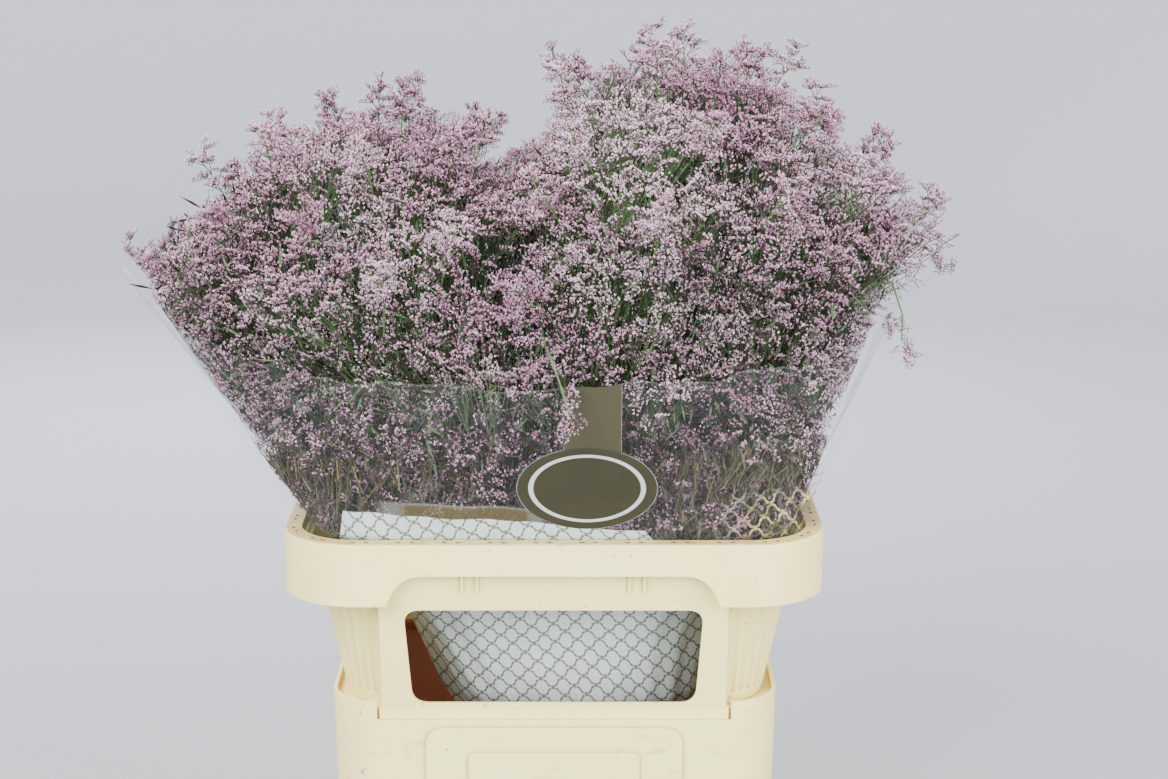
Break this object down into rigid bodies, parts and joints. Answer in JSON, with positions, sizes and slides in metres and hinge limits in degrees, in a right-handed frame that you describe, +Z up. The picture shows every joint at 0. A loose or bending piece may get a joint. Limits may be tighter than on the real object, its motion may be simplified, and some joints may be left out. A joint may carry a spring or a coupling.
{
  "type": "dried_statice_bunch",
  "caption": "Bunch of fine-branched pink statice in a clear printed film sleeve, standing in a plastic bucket with a raised collar.",
  "frame": {"origin": "Middle of the bucket's flat underside, on the surface it rests on.", "axes": "+Z up, -Y is the front with the badge, +X to the viewer's right."},
  "size_m": [0.6337, 0.42, 0.7826],
  "materials": {
    "ivory_plastic": "scuffed satin moulded plastic",
    "clear_film": "thin clear film with a pale printed zone",
    "statice_flowers": "dry papery florets on thin stems"
  },
  "bodies": {
    "root": {"bucket": "ivory_plastic", "collar": "ivory_plastic", "sleeve": "clear_film", "statice_stem_01": "statice_flowers", "statice_stem_02": "statice_flowers", "statice_stem_03": "statice_flowers", "statice_stem_04": "statice_flowers", "statice_stem_05": "statice_flowers", "statice_stem_06": "statice_flowers", "statice_stem_07": "statice_flowers", "statice_stem_08": "statice_flowers", "statice_stem_09": "statice_flowers", "statice_stem_10": "statice_flowers", "statice_stem_11": "statice_flowers", "statice_stem_12": "statice_flowers"}
  },
  "joints": []
}
